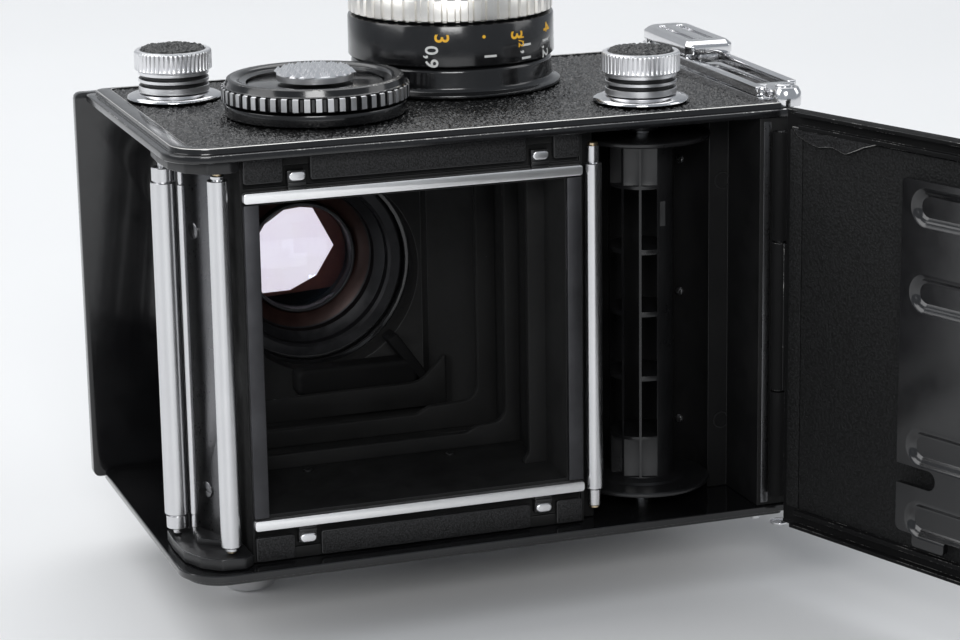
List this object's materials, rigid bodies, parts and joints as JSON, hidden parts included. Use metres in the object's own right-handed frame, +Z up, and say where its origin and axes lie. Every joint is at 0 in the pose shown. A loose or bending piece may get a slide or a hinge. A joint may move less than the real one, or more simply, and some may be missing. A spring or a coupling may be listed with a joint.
{
  "type": "twin lens reflex camera",
  "caption": "Box-shaped roll film camera with two lenses, lying on its side with its L-shaped back swung open on the film gate, rollers and take-up spool.",
  "frame": {"origin": "centre of the bounding box at the height of the surface the camera lies on, with the back open as pictured", "axes": "+Z up, which is the camera's left side; +Y to the camera's front, the lens side; +X to the camera's top, the hood side"},
  "size_m": [0.1462, 0.2212, 0.1073],
  "materials": {
    "black_alloy": "gloss black enamel",
    "matt_black_alloy": "matte black",
    "black_enamel": "gloss black",
    "leather": "pebbled black",
    "chrome": "polished",
    "satin_alloy": "satin",
    "steel": "polished",
    "grey_metal": "satin",
    "plastic": "satin black",
    "glass": "polished",
    "mirror": "polished",
    "screen": "ground"
  },
  "bodies": {
    "body": {"side_plate_left": "black_alloy", "side_plate_right": "black_alloy", "side_leather_left": "leather", "side_leather_right": "leather", "body_casting": "matt_black_alloy", "front_plate": "black_alloy", "film_rail_left": "steel", "film_rail_right": "steel", "gate_bar_base": "grey_metal", "gate_bar_top": "grey_metal", "film_clip_1": "chrome", "film_clip_2": "chrome", "film_clip_3": "chrome", "film_clip_4": "chrome", "roller_bracket": "matt_black_alloy", "supply_knob_washer": "chrome", "takeup_knob_washer": "chrome", "dial_base": "black_alloy", "focus_base": "black_alloy", "strap_lug_left": "chrome", "strap_lug_right": "chrome", "crank_hub": "black_alloy", "hinge_leaf": "black_enamel", "hinge_pin": "steel", "hood_base": "black_enamel", "focusing_screen": "screen", "mirror": "mirror"},
    "back": {"door_shell": "black_alloy", "pressure_spring": "steel"},
    "pressure": {"pressure_plate": "black_alloy"},
    "latch": {"door_latch": "chrome"},
    "feeler_outer": {"feeler_roller_outer": "steel"},
    "feeler_inner": {"feeler_roller_inner": "steel"},
    "guide_base": {"guide_roller_base": "steel"},
    "guide_top": {"guide_roller_top": "steel"},
    "spool": {"takeup_spool": "plastic", "takeup_drive_key": "steel"},
    "supply_knob": {"supply_knob": "chrome", "supply_knob_cap": "leather"},
    "takeup_knob": {"takeup_knob": "chrome", "takeup_knob_cap": "leather"},
    "dial_ring": {"dial_ring": "black_alloy"},
    "dial_knob": {"dial_knob": "chrome"},
    "focus_knob": {"focus_barrel": "black_alloy", "focus_grip": "satin_alloy"},
    "lens_board": {"lens_board": "black_enamel", "taking_lens_barrel": "chrome", "taking_lens_front_glass": "glass", "taking_lens_rear_cell": "satin_alloy", "taking_lens_rear_glass": "glass", "viewing_lens_barrel": "chrome", "viewing_lens_glass": "glass"},
    "aperture_wheel": {"aperture_wheel": "chrome"},
    "shutter_wheel": {"shutter_wheel": "chrome"},
    "release": {"release_button": "chrome"},
    "clip_left": {"strap_clip_left": "chrome"},
    "clip_right": {"strap_clip_right": "chrome"},
    "crank": {"crank_arm": "satin_alloy"},
    "crank_handle": {"crank_handle": "chrome"},
    "hood_lid": {"hood_lid": "black_alloy"}
  },
  "joints": [
    {"name": "back_hinge", "type": "hinge", "parent": "body", "child": "back", "pos_m": [0.03851, 0.01709, 0.0506], "axis": [0, 0, 1], "range_deg": [-109, 18]},
    {"name": "pressure_plate_float", "type": "slide", "parent": "back", "child": "pressure", "axis": [0.9455, 0.3256, 0], "range_m": [0, 0.0009], "stiffness_N_per_m": 300},
    {"name": "latch_turn", "type": "hinge", "parent": "back", "child": "latch", "pos_m": [0.04321, -0.1007, 0.0506], "axis": [0.3256, -0.9455, 0], "range_deg": [-60, 60]},
    {"name": "feeler_outer_roll", "type": "hinge", "parent": "body", "child": "feeler_outer", "pos_m": [-0.06849, 0.03699, 0.0506], "axis": [0, 0, 1], "continuous": true},
    {"name": "feeler_inner_roll", "type": "hinge", "parent": "body", "child": "feeler_inner", "pos_m": [-0.06599, 0.03459, 0.0506], "axis": [0, 0, 1], "continuous": true},
    {"name": "guide_base_roll", "type": "hinge", "parent": "body", "child": "guide_base", "pos_m": [-0.06249, 0.02279, 0.0506], "axis": [0, 0, 1], "continuous": true},
    {"name": "guide_top_roll", "type": "hinge", "parent": "body", "child": "guide_top", "pos_m": [0.00491, 0.02259, 0.0506], "axis": [0, 0, 1], "continuous": true},
    {"name": "takeup_turn", "type": "hinge", "parent": "body", "child": "spool", "pos_m": [0.01821, 0.03259, 0.0506], "axis": [0, 0, 1], "continuous": true},
    {"name": "supply_knob_pull", "type": "slide", "parent": "body", "child": "supply_knob", "axis": [0, 0, 1], "range_m": [0, 0.0065]},
    {"name": "takeup_knob_pull", "type": "slide", "parent": "body", "child": "takeup_knob", "axis": [0, 0, 1], "range_m": [0, 0.0065]},
    {"name": "dial_ring_turn", "type": "hinge", "parent": "body", "child": "dial_ring", "pos_m": [-0.03849, 0.04529, 0.0889], "axis": [0, 0, 1], "range_deg": [-170, 170]},
    {"name": "dial_knob_turn", "type": "hinge", "parent": "body", "child": "dial_knob", "pos_m": [-0.03849, 0.04529, 0.0889], "axis": [0, 0, 1], "range_deg": [-170, 170]},
    {"name": "focus_turn", "type": "hinge", "parent": "body", "child": "focus_knob", "pos_m": [-0.00619, 0.06569, 0.0889], "axis": [0, 0, 1], "range_deg": [-68, 183]},
    {"name": "lens_board_slide", "type": "slide", "parent": "body", "child": "lens_board", "axis": [0, 1, 0], "range_m": [-0.00178, 0.00479]},
    {"name": "aperture_wheel_turn", "type": "hinge", "parent": "lens_board", "child": "aperture_wheel", "pos_m": [-0.00724, 0.09899, 0.0728], "axis": [0, 1, 0], "range_deg": [-90, 90]},
    {"name": "shutter_wheel_turn", "type": "hinge", "parent": "lens_board", "child": "shutter_wheel", "pos_m": [-0.00724, 0.09899, 0.0284], "axis": [0, 1, 0], "range_deg": [-90, 90]},
    {"name": "release_press", "type": "slide", "parent": "lens_board", "child": "release", "axis": [0, -1, 0], "range_m": [0, 0.002], "stiffness_N_per_m": 300},
    {"name": "clip_left_swing", "type": "hinge", "parent": "body", "child": "clip_left", "pos_m": [0.04301, 0.02459, 0.09], "axis": [1, 0, 0], "range_deg": [0, 90]},
    {"name": "clip_right_swing", "type": "hinge", "parent": "body", "child": "clip_right", "pos_m": [0.04301, 0.02459, 0.0112], "axis": [-1, 0, 0], "range_deg": [0, 90]},
    {"name": "crank_turn", "type": "hinge", "parent": "body", "child": "crank", "pos_m": [-0.00439, 0.06449, 0.0123], "axis": [0, 0, 1], "continuous": true},
    {"name": "crank_handle_turn", "type": "hinge", "parent": "crank", "child": "crank_handle", "pos_m": [-0.05189, 0.05249, 0.0046], "axis": [0, 0, 1], "continuous": true},
    {"name": "hood_lid_hinge", "type": "hinge", "parent": "body", "child": "hood_lid", "pos_m": [0.05521, 0.02739, 0.0506], "axis": [0, 0, 1], "range_deg": [-95, 0]}
  ],
  "couplings": [
    {"joint": "focus_turn", "follows": "lens_board_slide", "rad_per_m": 666.67},
    {"joint": "takeup_turn", "follows": "crank_turn", "ratio": 1}
  ]
}
